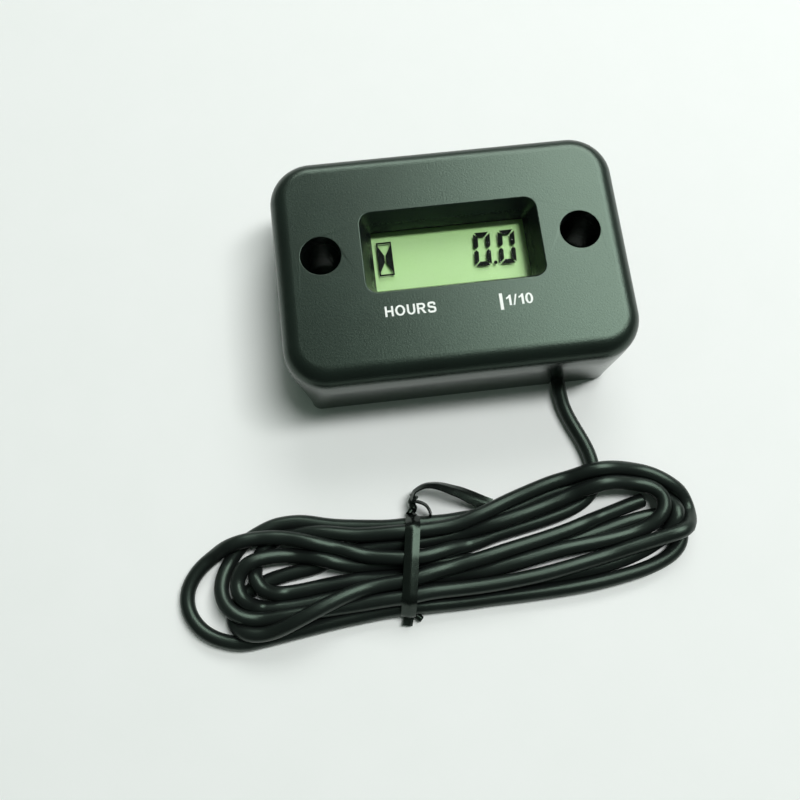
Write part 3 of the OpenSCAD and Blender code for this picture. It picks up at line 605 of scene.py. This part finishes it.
# Silicone rubber: smooth and satin, with a faint drag along it from the extruder.
lead_rubber, tree, output = material("extruded_silicone_rubber")
drag_mm, bloom_mm = 0.35, 6
place = add(tree, "TexCoord", {})
drag = add(tree, "TexNoise", {"Vector": place.outputs["Object"], "Scale": 1000 / drag_mm, "Detail": 2})
bloom = add(tree, "TexNoise", {"Vector": place.outputs["Object"], "Scale": 1000 / bloom_mm, "Detail": 3})
tone = add(tree, "Mix", {0: bloom.outputs["Fac"], 6: linear("#121514"), 7: linear("#1b1f1e")}, data_type="RGBA")
gloss = add(tree, "MapRange", {"Value": bloom.outputs["Fac"], "To Min": 0.3, "To Max": 0.42})
relief = add(tree, "Bump", {"Height": drag.outputs["Fac"], "Strength": 0.15, "Distance": 0.02 * MM})
surface = add(tree, "BsdfPrincipled", {
    "Base Color": tone.outputs[2], "Roughness": gloss.outputs["Result"], "IOR": 1.43,
    "Specular Tint": linear("#d8fbe2"), "Normal": relief.outputs["Normal"]})
tree.links.new(surface.outputs["BSDF"], output.inputs["Surface"])
finish_node("lead_sleeve", lead_rubber)

run = bpy.data.curves.new("lead", "CURVE")
run.dimensions = "3D"
run.bevel_depth, run.bevel_resolution, run.use_fill_caps = lead_d / 2 * MM, 5, True
spline = run.splines.new("POLY")
spline.points.add(len(lead_path) - 1)
spline.points.foreach_set("co", np.hstack([lead_path * MM, np.ones((len(lead_path), 1))]).ravel())
for point, narrow in zip(spline.points[-3:], end_narrow):
    point.radius = narrow
spline.use_smooth = True
run.materials.append(lead_rubber)
lead = bpy.data.objects.new("pickup_lead", run)
bpy.context.scene.collection.objects.link(lead)
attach(lead, "root")
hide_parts("lead", "lead_hank")


# Twist tie. A flat strip of black plastic with a soft steel wire along its middle, passed once round the hank
# and twisted at the back. One end stands up in a bow and tucks in behind the hank, the other is a short loop.

# Soft PVC over wire: glossy black that catches a long highlight on each flank.
tie_pvc = grained(
    "soft_black_pvc", "#101312", "#0b0d0c", 0.26, grain_mm=1.2, relief_mm=0.02, specular=0.4, tint="#d8fbe2")


def strip_section(width, thick, steps=9):
    """Section of the strip: flat below, with a flank falling away on each side of the wire."""
    across = [1 - 2 * k / (steps - 1) for k in range(steps)]
    top = [(width / 2 * a, thick * (0.35 + 0.7 * (1 - math.hypot(a, 0.15)))) for a in across]
    return top + [(-width / 2, -0.1 * thick), (width / 2, -0.1 * thick)]


def sweep(bm, centres, sides, ups, section, closed=False):
    """Skins a section along a line, with the section's own side and up at each point."""
    rows = [[bm.verts.new(c + a * s + b * u) for a, b in section] for c, s, u in zip(centres, sides, ups)]
    pairs = list(zip(rows, rows[1:])) + ([(rows[-1], rows[0])] if closed else [])
    for near, far in pairs:
        for k in range(len(section)):
            after = (k + 1) % len(section)
            bm.faces.new((near[k], near[after], far[after], far[k]))
    if not closed:
        bm.faces.new(rows[0])
        bm.faces.new(rows[-1])


def hull(points):
    """Corners of the tightest loop round flat points, anticlockwise."""
    points = sorted(map(tuple, points))
    chains = []
    for run_of in (points, points[::-1]):
        chain = []
        for p in run_of:
            while len(chain) > 1 and ((chain[-1][0] - chain[-2][0]) * (p[1] - chain[-2][1])
                                      - (chain[-1][1] - chain[-2][1]) * (p[0] - chain[-2][0])) <= 0:
                chain.pop()
            chain.append(p)
        chains += chain[:-1]
    return np.array(chains)


def twisted(bm, points, width, thick, turn_start, turn_end):
    """A stretch of strip along a smooth line, turning about its own length on the way."""
    line = smooth_line(points, 0.15)
    tangent = np.gradient(line, axis=0)
    tangent /= np.linalg.norm(tangent, axis=1)[:, None]
    level = np.cross(tangent, (0, 0, 1))
    level /= np.linalg.norm(level, axis=1)[:, None]
    steep = np.cross(level, tangent)
    turn = np.radians(np.linspace(turn_start, turn_end, len(line)))[:, None]
    sides = np.cos(turn) * level + np.sin(turn) * steep
    ups = np.cos(turn) * steep - np.sin(turn) * level
    sweep(bm, *[[Vector(v) for v in row] for row in (line, sides, ups)], strip_section(width, thick))


bm = bmesh.new()
tie_along = np.array([math.cos(tie_lean), -math.sin(tie_lean), 0])
tie_across = np.array([math.sin(tie_lean), math.cos(tie_lean), 0])
tie_centre = np.array([tie_x, tie_y, 0])
offset = (lead_path - tie_centre) @ tie_along
crossings = [lead_path[k] for k in range(len(lead_path) - 1)
             if offset[k] * offset[k + 1] <= 0 and lead_path[k][1] < hank_far_y]
around = np.linspace(0, 2 * math.pi, 24, endpoint=False)
slack_r = lead_d / 2 * 1.05
discs = [((p - tie_centre) @ tie_across + slack_r * math.cos(a), p[2] + slack_r * math.sin(a))
         for p in crossings for a in around]
loop = hull(discs)
loop = np.vstack([loop, loop[:1]])
loop = respaced(np.hstack([loop, np.zeros((len(loop), 1))]), count=161)[:-1, :2]
for _ in range(6):
    loop = (np.roll(loop, 1, 0) + 2 * loop + np.roll(loop, -1, 0)) / 4
loop[:, 1] = np.maximum(loop[:, 1], 0.95 * tie_t)  # the strip stays clear of the table
ahead = np.roll(loop, -1, 0) - np.roll(loop, 1, 0)
outward = np.stack([ahead[:, 1], -ahead[:, 0]], 1) / np.linalg.norm(ahead, axis=1)[:, None]
sweep(bm, [Vector(tie_centre + u * tie_across) + Vector((0, 0, v)) for u, v in loop],
      [Vector(tie_along)] * len(loop),
      [Vector(a * tie_across) + Vector((0, 0, b)) for a, b in outward],
      strip_section(tie_w, tie_t), closed=True)
knot_foot, knot_head = np.array([-10.9, -38.4, 2.2]), np.array([-10.2, -35.4, 2.6])
knot_turns, knot_r = 1.6, 0.45
along = np.linspace(0, 1, 24)[:, None]
axis = (knot_head - knot_foot) / np.linalg.norm(knot_head - knot_foot)
side = np.cross(axis, (0, 0, 1))
side /= np.linalg.norm(side)
for start in (0, math.pi):
    turn = start + 2 * math.pi * knot_turns * along
    around_axis = np.cos(turn) * side + np.sin(turn) * np.cross(side, axis)
    coil = knot_foot + along * (knot_head - knot_foot) + knot_r * around_axis
    twisted(bm, coil[::3], 1.1, 0.45, 60, 60 + 360 * knot_turns)
twisted(bm, [(-10.5, -36, 2.6), (-10.2, -35.4, 3), (-9.7, -34.9, 3.4), (-8.3, -34.4, 3.8), (-6.8, -34.5, 3.9),
             (-5.4, -34.9, 3.8), (-3.9, -35.5, 3.4), (-2.4, -36.1, 2.9), (-0.6, -37, 2.2), (1.1, -37.9, 1.6),
             (2.4, -38.5, 1.2)], tie_w, tie_t, 80, 0)
twisted(bm, [(-10.4, -36.6, 2.8), (-9.5, -37, 3.4), (-8.7, -37.5, 3.4), (-8.2, -38.2, 2.8), (-8, -38.8, 2),
             (-8.1, -39.2, 1.2)], 1.6, 0.5, 70, 90)
twisted(bm, [(-13.1, -54, 0.9), (-13.4, -55, 0.8), (-13.7, -56, 0.7)], 1.7, tie_t, 15, 25)
twisted(bm, [(-12.4, -54.2, 0.9), (-11.8, -54.9, 0.8), (-11.3, -55.4, 0.7)], 1.1, tie_t, 0, 30)
tie = make_piece("twist_tie_strip", closed_mesh(bm), tie_pvc, ["twist_tie"], sharp=50)


# Table, light and camera. A pale table in a dim room, lit by a lamp overhead and a window high behind. Two soft
# panels to the right and behind show only as reflections. The camera looks down on the meter, turned a little.

# Matt laminate: near white, with a barely visible mottle.
table_laminate = grained("white_matt_laminate", "#f5f8f6", "#f1f5f2", 0.9, grain_mm=12)
bm = bmesh.new()
table_reach = 3000
fill(bm, [bm.verts.new(corner) for corner in plate_ring(
    Vector((-table_reach, -table_reach, 0)), Vector((table_reach, table_reach, 0)), 0)])
table_mesh = closed_mesh(bm)
table_mesh.materials.append(table_laminate)
table = bpy.data.objects.new("table", table_mesh)
bpy.context.scene.collection.objects.link(table)

lamps = {
    "soft_box": {
        "place": (0.3, 0.425, 0.5), "aim": (0.3, 0.425, 0), "size": (0.42, 0.85), "power": 9.6, "mirrored": True},
    "side_box": {
        "place": (-0.03, 0.77, 0.5), "aim": (-0.03, 0.77, 0), "size": (0.24, 0.5), "power": 3, "mirrored": True},
    "key": {
        "place": (0.3, 0.07, 0.9), "aim": (0, 0, 0), "size": (0.15, 0.54), "power": 6.4, "mirrored": False},
    "window": {
        "place": (0.2, 0.6, 0.65), "aim": (0, 0, 0), "size": (0.6, 0.35), "power": 2.6, "mirrored": False},
}
for name, lamp in lamps.items():
    light = bpy.data.lights.new(name, "AREA")
    light.shape, light.energy = "RECTANGLE", lamp["power"]
    light.size, light.size_y = lamp["size"]
    holder = bpy.data.objects.new(name, light)
    holder.location = lamp["place"]
    holder.rotation_euler = (Vector(lamp["aim"]) - holder.location).to_track_quat("-Z", "Y").to_euler()
    holder.visible_camera = False
    holder.visible_glossy, holder.visible_diffuse = lamp["mirrored"], not lamp["mirrored"]
    bpy.context.scene.collection.objects.link(holder)

room = bpy.data.worlds.new("light_room")
bpy.context.scene.world = room
room.use_nodes = True
tree = room.node_tree
tree.nodes.clear()
output = tree.nodes.new("ShaderNodeOutputWorld")
place = add(tree, "TexCoord", {})
behind = add(
    tree, "VectorMath", {0: place.outputs["Generated"], 1: (0.1, 0.6, 0.8)}, operation="DOT_PRODUCT")
level = add(tree, "MapRange", {
    "Value": behind.outputs["Value"], "From Min": -0.5, "From Max": 0.7, "To Min": 0.04, "To Max": 0.16})
glow = add(tree, "Background", {"Color": linear("#dcf5e4"), "Strength": level.outputs["Result"]})
tree.links.new(glow.outputs["Background"], output.inputs["Surface"])

camera_place = Vector((-17.05, -57.99, 145.42)) * MM
sight = Vector((0.044, 0.2632, -0.9637)).normalized()
image_right = Vector((0.9929, -0.1178, 0.0132))
image_right = (image_right - image_right.dot(sight) * sight).normalized()
image_up = image_right.cross(sight)
eye = bpy.data.cameras.new("camera")
eye.sensor_width, eye.lens = 36, 39.15
eye.clip_start = 0.005
camera = bpy.data.objects.new("camera", eye)
camera_turn = Matrix((image_right, image_up, -sight)).transposed().to_4x4()
camera.matrix_world = Matrix.Translation(camera_place) @ camera_turn
bpy.context.scene.collection.objects.link(camera)
bpy.context.scene.camera = camera
bpy.context.scene.view_settings.view_transform = "Standard"
